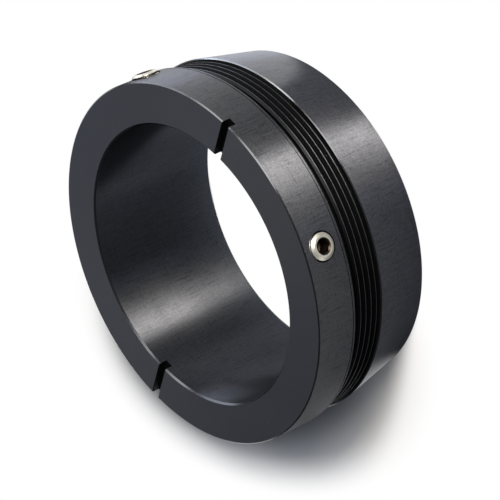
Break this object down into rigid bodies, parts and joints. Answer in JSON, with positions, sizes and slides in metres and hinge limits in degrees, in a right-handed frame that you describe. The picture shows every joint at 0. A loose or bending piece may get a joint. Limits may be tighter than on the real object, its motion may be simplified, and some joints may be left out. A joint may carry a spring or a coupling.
{
  "type": "eyepiece adapter",
  "caption": "Turned metal ring that carries an eyepiece barrel in its bore, with clamping set screws, a spanner slot across the nose and a grooved, tapered rear for a host tube.",
  "frame": {"origin": "centre of the rear face, on which the ring stands", "axes": "+Z along the bore towards the nose face, +X along the spanner slot on the side of the set screws"},
  "size_m": [0.0412, 0.0412, 0.0166],
  "materials": {
    "black_anodised": "satin black anodised, turned",
    "screw_steel": "bright stainless"
  },
  "bodies": {
    "ring": {"adapter_ring": "black_anodised"},
    "screw_1": {"set_screw_1": "screw_steel"},
    "screw_2": {"set_screw_2": "screw_steel"}
  },
  "joints": [
    {"name": "set_screw_1_travel", "type": "slide", "parent": "ring", "child": "screw_1", "axis": [0.7071, 0.7071, 0], "range_m": [-0.00135, 0.00235]},
    {"name": "set_screw_2_travel", "type": "slide", "parent": "ring", "child": "screw_2", "axis": [0.7071, -0.7071, 0], "range_m": [-0.0012, 0.0025]}
  ]
}
